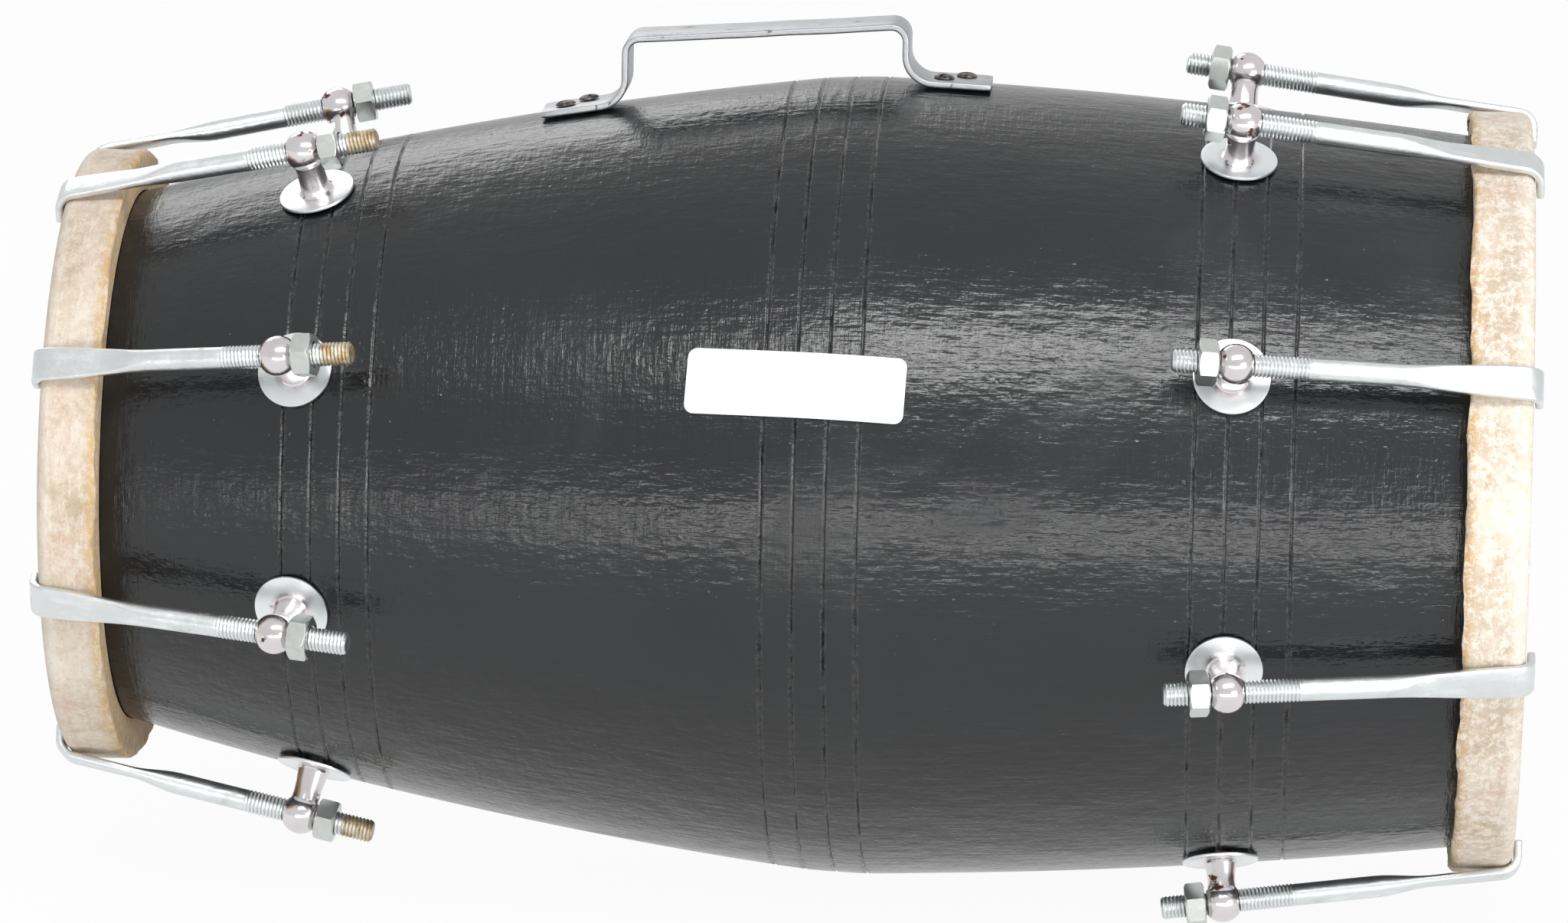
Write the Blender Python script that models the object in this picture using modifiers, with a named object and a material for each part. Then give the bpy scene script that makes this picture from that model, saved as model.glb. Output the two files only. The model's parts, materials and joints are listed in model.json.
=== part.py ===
# Dholak: a two-headed barrel drum lying on its side, with its handle on top.
# Units are metres. +X runs along the drum from the treble end to the bass end, and +Z is up.
# The model is made about the drum's axis, midway between the two heads, and then set down so
# that the origin is under the middle of the drum, level with its lowest point.
# An azimuth is an angle about the drum's axis: 0 is the top, and it grows towards -Y.

import math
from collections import namedtuple

import bmesh
import bpy
from mathutils import Matrix, Vector

CLEAR = 0.0003  # gap between pieces that touch on the real drum

# Shell
LENGTH = 0.480  # over the two heads
BELLY_RADIUS = 0.1331
BELLY_X = 0.017  # the widest place lies a little towards the bass end
WALL = 0.011
BEARING_CHAMFER = 0.0025
SHELL_SIDES = 40
BASE_RINGS = 6  # rings of each half, besides those of the grooves
BORE_RINGS = 3

# Scribed grooves, in three groups
GROOVE_WIDTH = 0.0018
GROOVE_DEPTH = 0.0009
GROOVE_COUNT = 4
TREBLE_GROOVES_X = -0.1457
TREBLE_GROOVE_PITCH = 0.0096
MIDDLE_GROOVES_X = 0.0119
MIDDLE_GROOVE_PITCH = 0.0102
BASS_GROOVES_X = 0.1489
BASS_GROOVE_PITCH = 0.0105

# Heads: rawhide lapped round a hoop
HIDE = 0.0015
RIM_CORNER = 0.004
RIM_SIDES = 40
HOOP_CLEAR = 0.0006  # between the hoop's bore and the shell
PASTE_RADIUS = 0.055
PASTE_THICKNESS = 0.003

# Eye posts, drilled by hand, so not quite evenly spaced
POST_AZIMUTHS = (-21.5, 22.0, 62.5, 106.0, 155.0, 203.5, 254.0, 297.5)
BALL_RADIUS = 0.0066
EYE_FLATS = 0.011  # across the ball's two flats
NECK_RADIUS = 0.005
WASHER_RADIUS = 0.0125
WASHER_THICKNESS = 0.0012
SHANK_RADIUS = 0.004
SHANK_TAIL = 0.003  # shank that stands out of the clamp nut
CLAMP_ACROSS = 0.013
CLAMP_THICKNESS = 0.005
POST_SIDES = 10

# Hook bolts and their nuts
ROD_RADIUS = 0.0038
THREAD_CHAMFER = 0.0008
HOOK_THICKNESS = 0.0026
HOOK_WIDTH = 0.011
HOOK_CORNER = 0.001
HOOK_SEAT = 0.0004  # between the hook and the rim's corner
LIP_DROP = 0.009  # how far the lip reaches down over the rim
NUT_ACROSS = 0.013
NUT_THICKNESS = 0.0065
NUT_CLEAR = 0.0004  # round the thread
NUT_CLOCKING = 17.0  # degrees that each nut is turned on from the last one

# Handle: one bent flat strip
STRIP_THICKNESS = 0.0022
STRIP_WIDTH = 0.022
GRIP_TREBLE_X = -0.0585
GRIP_BASS_X = 0.0340
GRIP_TREBLE_RISE = 0.0127  # how far the grip's treble end stands over the belly
GRIP_BASS_RISE = 0.0195  # and its bass end
FOOT_LENGTH = 0.028
GRIP_BEND = 0.0045
FOOT_BEND = 0.0085
SCREW_RADIUS = 0.0018
SCREW_LENGTH = 0.011
SCREW_HEAD_RADIUS = 0.0034
SCREW_HEAD_HEIGHT = 0.0013
SCREW_INSET = 0.0122  # from the foot's end to the middle of its two screws
SCREW_SPREAD = 0.0072  # between the two screws, along the strip
SCREW_STAGGER = 0.0066  # between them, across the strip

# Name plate
PLATE_LENGTH = 0.070
PLATE_HEIGHT = 0.0213
PLATE_THICKNESS = 0.0005
PLATE_CORNER = 0.003
PLATE_X = 0.0064
PLATE_AZIMUTH = 66.0
PLATE_TILT = 2.4

End = namedtuple(
    "End",
    "name side end_radius bulge rim_overhang rim_width post_x eye_height thread_past_nut flat_length",
)
TREBLE = End(
    name="treble",
    side=-1,
    end_radius=0.0834,
    bulge=0.00565,
    rim_overhang=0.0193,
    rim_width=0.0186,
    post_x=0.1566,
    eye_height=0.0168,
    thread_past_nut=0.0125,
    flat_length=0.036,
)
BASS = End(
    name="bass",
    side=1,
    end_radius=0.1155,
    bulge=0.0029,
    rim_overhang=0.0111,
    rim_width=0.0198,
    post_x=0.1443,
    eye_height=0.0148,
    thread_past_nut=0.0080,
    flat_length=0.042,
)


def shell_place(x):
    # The half that x lies in, its length, and how far along it x is, from 0 at the belly to 1
    end = BASS if x > BELLY_X else TREBLE
    span = LENGTH / 2 - end.side * BELLY_X
    return end, span, abs(x - BELLY_X) / span


def shell_radius(x):
    end, _, along = shell_place(x)
    fall = (end.end_radius - BELLY_RADIUS) * along
    return BELLY_RADIUS + fall + 4 * end.bulge * along * (1 - along)


def shell_slope(x):
    # The angle at which the surface falls towards its end
    end, span, along = shell_place(x)
    rise = (end.end_radius - BELLY_RADIUS) + 4 * end.bulge * (1 - 2 * along)
    return math.atan(-rise / span)


def groove_places():
    groups = (
        (TREBLE_GROOVES_X, TREBLE_GROOVE_PITCH),
        (MIDDLE_GROOVES_X, MIDDLE_GROOVE_PITCH),
        (BASS_GROOVES_X, BASS_GROOVE_PITCH),
    )
    middle = (GROOVE_COUNT - 1) / 2
    return [x + (i - middle) * pitch for x, pitch in groups for i in range(GROOVE_COUNT)]


def in_collection(name):
    found = bpy.data.collections.new(name)
    bpy.context.scene.collection.children.link(found)
    return found


def material(name, colour, roughness, metallic=0.0):
    made = bpy.data.materials.new(name)
    made.use_nodes = True
    shader = made.node_tree.nodes["Principled BSDF"]
    shader.inputs["Base Color"].default_value = (*colour, 1.0)
    shader.inputs["Roughness"].default_value = roughness
    shader.inputs["Metallic"].default_value = metallic
    return made


def add_object(name, mesh, finish=None, helper=False):
    obj = bpy.data.objects.new(name, mesh)
    (cutters if helper else parts).objects.link(obj)
    if finish is not None:
        mesh.materials.clear()
        mesh.materials.append(finish)
    if helper:
        obj.hide_render = True
        obj.display_type = "WIRE"
    return obj


def mesh_from(bm, name):
    mesh = bpy.data.meshes.new(name)
    bm.normal_update()
    bmesh.ops.recalc_face_normals(bm, faces=bm.faces)
    bm.to_mesh(mesh)
    bm.free()
    return mesh


def shade(mesh, degrees=32.0):
    mesh.shade_smooth()
    mesh.set_sharp_from_angle(angle=math.radians(degrees))


def turned_mesh(name, outline, sides, closed):
    # The outline is (radius, height) pairs that run down the outer side
    mesh = bpy.data.meshes.new(name)
    edges = [(i, i + 1) for i in range(len(outline) - 1)]
    if closed:
        edges.append((len(outline) - 1, 0))
    mesh.from_pydata([(radius, 0, height) for radius, height in outline], edges, [])
    obj = add_object(name + "_turning", mesh, helper=True)
    screw = obj.modifiers.new("Turn", "SCREW")
    screw.angle = math.tau
    screw.steps = screw.render_steps = sides
    screw.use_merge_vertices = True
    screw.merge_threshold = 0.00001
    return baked(obj, name)


def baked(obj, name):
    # The mesh that an object's modifiers make; the object itself is removed
    bpy.context.view_layer.update()
    graph = bpy.context.evaluated_depsgraph_get()
    mesh = bpy.data.meshes.new_from_object(obj.evaluated_get(graph))
    mesh.name = name
    old = obj.data
    bpy.data.objects.remove(obj)
    if old.users == 0:
        bpy.data.meshes.remove(old)
    shade(mesh)
    return mesh


def cylinder(radius, start, finish, sides, name, across_flats=False):
    # A helper cylinder from one point to another; its radius may be measured to the flats
    start, finish = Vector(start), Vector(finish)
    if across_flats:
        radius = radius / math.cos(math.pi / sides)
    bm = bmesh.new()
    bmesh.ops.create_cone(
        bm, cap_ends=True, segments=sides, radius1=radius, radius2=radius, depth=(finish - start).length
    )
    turn = Vector((0, 0, 1)).rotation_difference(finish - start).to_matrix().to_4x4()
    bm.transform(Matrix.Translation((start + finish) / 2) @ turn)
    return add_object(name, mesh_from(bm, name), helper=True)


def block(low, high, name):
    low, high = Vector(low), Vector(high)
    size = high - low
    bm = bmesh.new()
    bmesh.ops.create_cube(bm, size=1.0)
    bm.transform(Matrix.Translation((low + high) / 2) @ Matrix.Diagonal((*size, 1.0)))
    return add_object(name, mesh_from(bm, name), helper=True)


def combine(obj, other, operation):
    step = obj.modifiers.new(operation.title() + " " + other.name, "BOOLEAN")
    step.operation = operation
    step.object = other
    step.solver = "EXACT"


def bake_and_clear(obj, helpers, name):
    mesh = baked(obj, name)
    for helper in helpers:
        used = helper.data
        bpy.data.objects.remove(helper)
        bpy.data.meshes.remove(used)
    return mesh


# The hook and its post, seen in the plane through the drum's axis and the post:
# a point is (distance from the middle towards that end, distance from the axis).


def post_tilt(end):
    return shell_slope(end.side * end.post_x)


def post_base(end):
    return Vector((end.post_x, shell_radius(end.side * end.post_x)))


def eye_centre(end):
    tilt = post_tilt(end)
    return post_base(end) + end.eye_height * Vector((math.sin(tilt), math.cos(tilt)))


def rim_radius(end):
    return end.end_radius + end.rim_overhang


def bend_centre(end):
    return Vector((LENGTH / 2 - RIM_CORNER, rim_radius(end) - RIM_CORNER))


def bend_radius():
    return RIM_CORNER + HOOK_SEAT + HOOK_THICKNESS / 2


def rod_reach(end):
    return (bend_centre(end) - eye_centre(end)).length


def rod_tilt(end):
    # The rod runs through the eye and passes over the rim's corner
    fall = eye_centre(end) - bend_centre(end)
    return math.atan2(fall.y, -fall.x) - math.asin(bend_radius() / rod_reach(end))


def bend_start(end):
    # From the eye's centre to where the bend over the rim starts
    return math.sqrt(rod_reach(end) ** 2 - bend_radius() ** 2)


def place_at_eye(obj, end, azimuth, tilt, spin=0.0):
    # Local +X points out along the rod or square to the post, and local +Z away from the drum
    eye = eye_centre(end)
    about = math.radians(azimuth)
    obj.location = (
        end.side * eye.x,
        -eye.y * math.sin(about),
        eye.y * math.cos(about),
    )
    turn = Matrix.Rotation(about, 3, "X")
    if end.side < 0:
        turn = turn @ Matrix.Rotation(math.pi, 3, "Z")
    turn = turn @ Matrix.Rotation(tilt, 3, "Y") @ Matrix.Rotation(spin, 3, "X")
    obj.rotation_euler = turn.to_euler()


def make_shell():
    edge = LENGTH / 2 - HIDE - CLEAR
    grooves = groove_places()

    def ring_places(rings):
        down = [BELLY_X + (edge - BELLY_X) * i / rings for i in range(rings, 0, -1)]
        return down + [BELLY_X + (-edge - BELLY_X) * i / rings for i in range(rings + 1)]

    outline = []
    for x in ring_places(BASE_RINGS)[1:-1]:
        if min(abs(x - groove) for groove in grooves) > 2 * GROOVE_WIDTH:
            outline.append((shell_radius(x), x))
    for groove in grooves:
        for x in (groove + GROOVE_WIDTH / 2, groove - GROOVE_WIDTH / 2):
            outline.append((shell_radius(x), x))
        outline.append((shell_radius(groove) - GROOVE_DEPTH, groove))
    for side in (1, -1):
        rim = shell_radius(side * edge)
        outline.append((rim - BEARING_CHAMFER, side * edge))
        outline.append((rim, side * (edge - BEARING_CHAMFER)))
    outline.sort(key=lambda point: -point[1])
    bore = [(shell_radius(x) - WALL, x) for x in reversed(ring_places(BORE_RINGS))]
    mesh = turned_mesh("shell", outline + bore, SHELL_SIDES, closed=True)
    shell = add_object("shell", mesh, finishes["lacquer"])
    shell.rotation_euler = (0, math.pi / 2, 0)
    holes = in_collection("shell holes")
    for end in (TREBLE, BASS):
        tilt = post_tilt(end)
        outward = Vector((end.side * math.sin(tilt), 0, math.cos(tilt)))
        base = post_base(end)
        foot = Vector((end.side * base.x, 0, base.y))
        for number, azimuth in enumerate(POST_AZIMUTHS, 1):
            about = Matrix.Rotation(math.radians(azimuth), 3, "X")
            hole = cylinder(
                SHANK_RADIUS + CLEAR,
                about @ (foot - 2 * WALL * outward),
                about @ (foot + WALL * outward),
                POST_SIDES,
                f"{end.name}_post_hole_{number}",
            )
            move_to(hole, holes)
    for number, (head, down) in enumerate(screw_places(), 1):
        hole = cylinder(
            SCREW_RADIUS + CLEAR,
            head - SCREW_HEAD_HEIGHT * down,
            head + (SCREW_LENGTH + 2 * CLEAR) * down,
            POST_SIDES,
            f"handle_screw_hole_{number}",
        )
        move_to(hole, holes)
    drill = shell.modifiers.new("Drill", "BOOLEAN")
    drill.operation = "DIFFERENCE"
    drill.operand_type = "COLLECTION"
    drill.collection = holes
    drill.solver = "EXACT"
    holes.hide_render = True


def move_to(obj, collection):
    cutters.objects.unlink(obj)
    collection.objects.link(obj)


def rim_inside(end):
    # Where the rim ends, and the bore that lets it pass over the shell there
    inner_x = LENGTH / 2 - end.rim_width
    return inner_x, shell_radius(end.side * inner_x) + HOOP_CLEAR


def make_head(end):
    face = LENGTH / 2
    radius = rim_radius(end)
    inner_x, bore = rim_inside(end)
    corner = [
        (
            radius - RIM_CORNER * (1 - math.sin(angle)),
            face - RIM_CORNER * (1 - math.cos(angle)),
        )
        for angle in (math.radians(30 * i) for i in range(4))
    ]
    outline = [(0.0, face)] + corner
    outline += [
        (radius, inner_x),
        (bore, inner_x),
        (bore, inner_x + HIDE),
        (radius - HIDE, inner_x + HIDE),
        (radius - HIDE, face - RIM_CORNER),
        (radius - RIM_CORNER, face - HIDE),
        (0.0, face - HIDE),
    ]
    skin = add_object(
        f"{end.name}_skin",
        turned_mesh(f"{end.name}_skin", outline, RIM_SIDES, closed=False),
        finishes["hide"],
    )
    outer = radius - HIDE - CLEAR
    low, high = inner_x + HIDE + CLEAR, face - HIDE - CLEAR
    chamfer = RIM_CORNER - HIDE
    ring = [
        (outer - chamfer, high),
        (outer, high - chamfer),
        (outer, low),
        (bore, low),
        (bore, high),
    ]
    hoop = add_object(
        f"{end.name}_hoop",
        turned_mesh(f"{end.name}_hoop", ring, RIM_SIDES, closed=True),
        finishes["cane"],
    )
    for obj in (skin, hoop):
        obj.rotation_euler = (0, end.side * math.pi / 2, 0)


def make_paste():
    high = LENGTH / 2 - HIDE - CLEAR
    low = high - PASTE_THICKNESS
    slant = PASTE_THICKNESS
    outline = [(0.0, high), (PASTE_RADIUS, high), (PASTE_RADIUS - slant, low), (0.0, low)]
    paste = add_object(
        "bass_paste", turned_mesh("bass_paste", outline, RIM_SIDES // 2, closed=False), finishes["paste"]
    )
    paste.rotation_euler = (0, math.pi / 2, 0)


def clamp_seat(end):
    # How far the clamp nut's face lies below the outer surface, clear of the curved bore
    bore = shell_radius(end.side * end.post_x) - WALL
    corner = CLAMP_ACROSS / math.sqrt(3)
    sagitta = bore - math.sqrt(bore**2 - corner**2)
    facet = bore * (1 - math.cos(math.pi / SHELL_SIDES))
    return WALL / math.cos(post_tilt(end)) + sagitta + facet + CLEAR


def post_mesh(end):
    # Ball, neck, washer and shank are turned about the post's axis, with the eye at the origin
    under = CLEAR - end.eye_height
    washer_top = under + WASHER_THICKNESS
    seat = -end.eye_height - clamp_seat(end)
    tail = seat - CLAMP_THICKNESS - SHANK_TAIL
    neck_angle = math.pi - math.asin(NECK_RADIUS / BALL_RADIUS)
    ball = [
        (BALL_RADIUS * math.sin(angle), BALL_RADIUS * math.cos(angle))
        for angle in (neck_angle * i / 4 for i in range(5))
    ]
    outline = ball + [
        (NECK_RADIUS, washer_top),
        (WASHER_RADIUS, washer_top),
        (WASHER_RADIUS, under),
        (SHANK_RADIUS, under),
        (SHANK_RADIUS, tail),
        (0.0, tail),
    ]
    name = f"{end.name}_post"
    post = add_object(name, turned_mesh(name, outline, POST_SIDES, closed=False), helper=True)
    reach = 2 * BALL_RADIUS
    lean = rod_tilt(end) - post_tilt(end)
    flats = [
        block(
            (min(sign * EYE_FLATS / 2, sign * reach), -reach, -BALL_RADIUS * 1.1),
            (max(sign * EYE_FLATS / 2, sign * reach), reach, BALL_RADIUS * 1.1),
            f"{name}_flat_{label}",
        )
        for sign, label in ((1, "out"), (-1, "in"))
    ]
    eye = cylinder(
        ROD_RADIUS + NUT_CLEAR, (-reach, 0, 0), (reach, 0, 0), POST_SIDES, f"{name}_eye"
    )
    for cutter in flats + [eye]:
        cutter.rotation_euler = (0, lean, 0)
        combine(post, cutter, "DIFFERENCE")
    clamp = cylinder(
        CLAMP_ACROSS / 2, (0, 0, seat), (0, 0, seat - CLAMP_THICKNESS), 6, f"{name}_clamp", across_flats=True
    )
    combine(post, clamp, "UNION")
    return bake_and_clear(post, flats + [eye, clamp], name)


def section(width, thickness, corner):
    # Eight points of a rounded rectangle: two round each corner, evenly spaced on a circle
    points = []
    for quarter, (across, up) in enumerate(((1, 1), (-1, 1), (-1, -1), (1, -1))):
        for step in (22.5, 67.5):
            angle = math.radians(90 * quarter + step)
            y = across * (width / 2 - corner) + corner * math.cos(angle)
            z = up * (thickness / 2 - corner) + corner * math.sin(angle)
            points.append((y, z))
    return points


def nut_place():
    # The nut's two faces, as distances from the eye along the rod towards the drum's middle
    face = EYE_FLATS / 2 + CLEAR
    return face, face + NUT_THICKNESS


def hook_stations(end):
    # (x, z, heading below the rod's line, section) from the threaded end to the lip's end
    start = -(nut_place()[1] + end.thread_past_nut)
    bend = bend_start(end)
    radius = bend_radius()
    flat = bend - end.flat_length
    rod = 2 * ROD_RADIUS
    round_section = section(rod, rod, ROD_RADIUS)
    tip = rod - 2 * THREAD_CHAMFER
    stations = [
        (start, 0.0, 0.0, section(tip, tip, tip / 2)),
        (start + THREAD_CHAMFER, 0.0, 0.0, round_section),
        (flat, 0.0, 0.0, round_section),
    ]
    for share in (0.15, 0.3, 0.65, 1.0):
        widened = rod + (HOOK_WIDTH - rod) * share
        left = max(0.0, 1 - share / 0.3)
        thickness = HOOK_THICKNESS + (rod - HOOK_THICKNESS) * left
        corner = HOOK_CORNER + (ROD_RADIUS - HOOK_CORNER) * left
        place = flat + end.flat_length * share
        stations.append((place, 0.0, 0.0, section(widened, thickness, min(corner, thickness / 2))))
    turn = math.pi / 2 - rod_tilt(end)
    strap = section(HOOK_WIDTH, HOOK_THICKNESS, HOOK_CORNER)
    for share in (1 / 3, 2 / 3, 1.0):
        angle = turn * share
        x = bend + radius * math.sin(angle)
        z = radius * math.cos(angle) - radius
        stations.append((x, z, angle, strap))
    lip = LIP_DROP - RIM_CORNER
    stations.append((x + lip * math.cos(turn), z - lip * math.sin(turn), turn, strap))
    return stations


def hook_mesh(end):
    bm = bmesh.new()
    rings = []
    for x, z, heading, points in hook_stations(end):
        out = Vector((math.sin(heading), 0, math.cos(heading)))
        ring = [bm.verts.new(Vector((x, y, z)) + up * out) for y, up in points]
        rings.append(ring)
    count = len(rings[0])
    for first, second in zip(rings, rings[1:]):
        for i in range(count):
            j = (i + 1) % count
            bm.faces.new((first[i], first[j], second[j], second[i]))
    bm.faces.new(rings[0])
    bm.faces.new(rings[-1])
    mesh = mesh_from(bm, f"{end.name}_hook")
    shade(mesh, 40.0)
    return mesh


def nut_mesh():
    near, far = nut_place()
    nut = cylinder(NUT_ACROSS / 2, (-near, 0, 0), (-far, 0, 0), 6, "nut", across_flats=True)
    bore = cylinder(
        ROD_RADIUS + NUT_CLEAR, (-near / 2, 0, 0), (-far - near / 2, 0, 0), POST_SIDES, "nut_bore"
    )
    combine(nut, bore, "DIFFERENCE")
    return bake_and_clear(nut, [bore], "nut")


def make_tuning(end):
    post = post_mesh(end)
    hook = hook_mesh(end)
    nut = nut_mesh()
    for number, azimuth in enumerate(POST_AZIMUTHS, 1):
        for piece, mesh, finish, tilt, spin in (
            ("post", post, "ball", post_tilt(end), 0.0),
            ("hook", hook, "zinc", rod_tilt(end), 0.0),
            ("nut", nut, "nut", rod_tilt(end), math.radians(NUT_CLOCKING * number)),
        ):
            obj = add_object(f"{end.name}_{piece}_{number}", mesh, finishes[finish])
            place_at_eye(obj, end, azimuth, tilt, spin)


def foot_line(end_x, towards):
    # A foot lies along the shell: a point under its middle, and its direction outwards
    middle = end_x + towards * FOOT_LENGTH / 2
    direction = Vector((towards, 0, -math.tan(abs(shell_slope(middle))))).normalized()
    normal = Vector((-direction.z * towards, 0, direction.x * towards))
    rest = shell_radius(middle) + CLEAR + STRIP_THICKNESS / 2
    return Vector((middle, 0, rest)), direction, normal


def foot_points(end_x, towards):
    # The corner under the leg, and the foot's far end
    middle, direction, _ = foot_line(end_x, towards)
    corner = middle + direction * ((end_x - middle.x) / direction.x)
    return corner, corner + direction * FOOT_LENGTH


def strip_path():
    left_corner, left_end = foot_points(GRIP_TREBLE_X, -1)
    right_corner, right_end = foot_points(GRIP_BASS_X, 1)
    return [
        (left_end, 0.0),
        (left_corner, FOOT_BEND),
        (Vector((GRIP_TREBLE_X, 0, BELLY_RADIUS + GRIP_TREBLE_RISE)), GRIP_BEND),
        (Vector((GRIP_BASS_X, 0, BELLY_RADIUS + GRIP_BASS_RISE)), GRIP_BEND),
        (right_corner, FOOT_BEND),
        (right_end, 0.0),
    ]


def rounded(path, steps):
    # The path with each inner corner turned into an arc of the radius that it gives
    points = [path[0][0]]
    for (before, _), (corner, radius), (after, _) in zip(path, path[1:], path[2:]):
        back = (before - corner).normalized()
        ahead = (after - corner).normalized()
        half = back.angle(ahead) / 2
        centre = corner + (back + ahead).normalized() * (radius / math.sin(half))
        first = corner + back * (radius / math.tan(half)) - centre
        last = corner + ahead * (radius / math.tan(half)) - centre
        sweep = first.angle(last)
        for i in range(steps + 1):
            share = i / steps
            arm = first * math.sin((1 - share) * sweep) + last * math.sin(share * sweep)
            points.append(centre + arm / math.sin(sweep))
    points.append(path[-1][0])
    return points


def screw_places():
    # The underside of each screw's head, and the way that the screw points
    places = []
    for end_x, towards in ((GRIP_TREBLE_X, -1), (GRIP_BASS_X, 1)):
        _, far = foot_points(end_x, towards)
        _, direction, normal = foot_line(end_x, towards)
        pair = far - direction * SCREW_INSET + normal * (STRIP_THICKNESS / 2 + CLEAR)
        for side in (-1, 1):
            along = Vector((side, 0, side * direction.z / direction.x)).normalized() * SCREW_SPREAD / 2
            places.append((pair + along + Vector((0, side * SCREW_STAGGER / 2, 0)), -normal))
    return places


def make_handle():
    bm = bmesh.new()
    edge = [
        [bm.verts.new(point + Vector((0, side * STRIP_WIDTH / 2, 0))) for side in (-1, 1)]
        for point in rounded(strip_path(), 4)
    ]
    for first, second in zip(edge, edge[1:]):
        bm.faces.new((first[0], first[1], second[1], second[0]))
    strip = add_object("handle_strap", mesh_from(bm, "handle_strap"), helper=True)
    thick = strip.modifiers.new("Thickness", "SOLIDIFY")
    thick.thickness = STRIP_THICKNESS
    thick.offset = 0.0
    thick.use_even_offset = True
    holes = []
    for number, (head, down) in enumerate(screw_places(), 1):
        reach = 2 * STRIP_THICKNESS * down
        hole = cylinder(
            SCREW_RADIUS + CLEAR, head - reach, head + reach, POST_SIDES, f"strap_hole_{number}"
        )
        combine(strip, hole, "DIFFERENCE")
        holes.append(hole)
    mesh = bake_and_clear(strip, holes, "handle_strap")
    add_object("handle_strap", mesh, finishes["strip"])
    for number, (head, down) in enumerate(screw_places(), 1):
        outline = [
            (0.0, SCREW_HEAD_HEIGHT),
            (SCREW_HEAD_RADIUS * 0.7, SCREW_HEAD_HEIGHT * 0.85),
            (SCREW_HEAD_RADIUS, SCREW_HEAD_HEIGHT * 0.3),
            (SCREW_HEAD_RADIUS, 0.0),
            (SCREW_RADIUS, 0.0),
            (SCREW_RADIUS, -SCREW_LENGTH + SCREW_RADIUS),
            (0.0, -SCREW_LENGTH),
        ]
        name = f"handle_screw_{number}"
        screw = add_object(name, turned_mesh(name, outline, POST_SIDES, closed=False), finishes["screw"])
        screw.location = head
        screw.rotation_euler = Vector((0, 0, 1)).rotation_difference(-down).to_euler()


def make_plate():
    # A rounded rectangle, wrapped on the shell: columns along its length, rows across it
    half_length, half_height = PLATE_LENGTH / 2, PLATE_HEIGHT / 2
    straight = half_length - PLATE_CORNER
    columns = []
    for side in (-1, 1):
        for degrees in (90, 60, 30, 0):
            angle = math.radians(degrees)
            reach = straight + PLATE_CORNER * math.sin(angle)
            columns.append((side * reach, half_height - PLATE_CORNER * (1 - math.cos(angle))))
    columns += [(straight * share, half_height) for share in (-0.6, -0.2, 0.6)]
    tilt = math.radians(PLATE_TILT)
    crest = (BELLY_X - PLATE_X) / math.cos(tilt)
    columns.append((max(-0.5 * straight, min(0.5 * straight, crest)), half_height))
    columns.sort()
    bm = bmesh.new()
    rows = []
    for along, height in columns:
        row = []
        for share in (-1.0, -0.5, 0.0, 0.5, 1.0):
            up = share * height
            x = PLATE_X + along * math.cos(tilt) + up * math.sin(tilt)
            rise = up * math.cos(tilt) - along * math.sin(tilt)
            radius = shell_radius(x) + CLEAR
            about = math.radians(PLATE_AZIMUTH) - rise / radius
            row.append(bm.verts.new((x, -radius * math.sin(about), radius * math.cos(about))))
        rows.append(row)
    for first, second in zip(rows, rows[1:]):
        for i in range(len(first) - 1):
            bm.faces.new((first[i], second[i], second[i + 1], first[i + 1]))
    plate = add_object("label_plate", mesh_from(bm, "label_plate"), finishes["plate"])
    thick = plate.modifiers.new("Thickness", "SOLIDIFY")
    thick.thickness = PLATE_THICKNESS
    thick.offset = 1.0


def set_down():
    # One empty carries every piece and every hole
    bpy.context.view_layer.update()
    graph = bpy.context.evaluated_depsgraph_get()
    points = []
    for obj in parts.objects:
        shape = obj.evaluated_get(graph)
        points += [obj.matrix_world @ vertex.co for vertex in shape.to_mesh().vertices]
        shape.to_mesh_clear()
    low = [min(point[i] for point in points) for i in range(3)]
    high = [max(point[i] for point in points) for i in range(3)]
    base = bpy.data.objects.new("drum_axis", None)
    bpy.context.scene.collection.objects.link(base)
    base.location = (-(low[0] + high[0]) / 2, -(low[1] + high[1]) / 2, -low[2])
    for collection in (parts, bpy.data.collections["shell holes"]):
        for obj in collection.objects:
            obj.parent = base


for old in list(bpy.data.objects):
    bpy.data.objects.remove(old)
parts = in_collection("dholak")
cutters = in_collection("cutters")
cutters.hide_render = True
finishes = {
    "lacquer": material("black lacquer", (0.012, 0.012, 0.014), 0.22),
    "hide": material("rawhide", (0.66, 0.55, 0.42), 0.75),
    "cane": material("cane hoop", (0.45, 0.30, 0.16), 0.7),
    "paste": material("tuning paste", (0.05, 0.04, 0.035), 0.9),
    "ball": material("polished zinc", (0.60, 0.56, 0.56), 0.22, 1.0),
    "zinc": material("satin zinc", (0.62, 0.64, 0.64), 0.4, 1.0),
    "nut": material("nut steel", (0.56, 0.57, 0.55), 0.35, 1.0),
    "strip": material("dull steel strip", (0.50, 0.51, 0.52), 0.5, 1.0),
    "screw": material("darkened steel", (0.22, 0.20, 0.19), 0.5, 1.0),
    "plate": material("white plate", (0.85, 0.85, 0.84), 0.35),
}

make_shell()
make_head(TREBLE)
make_head(BASS)
make_paste()
make_tuning(TREBLE)
make_tuning(BASS)
make_handle()
make_plate()
set_down()
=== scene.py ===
# Dholak: the finished look of the drum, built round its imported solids.
# Metres. +X runs from the treble end to the bass end, and +Z is up through the handle.

import json
import math

import bmesh
import bpy
from mathutils import Matrix, Quaternion, Vector, noise


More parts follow.
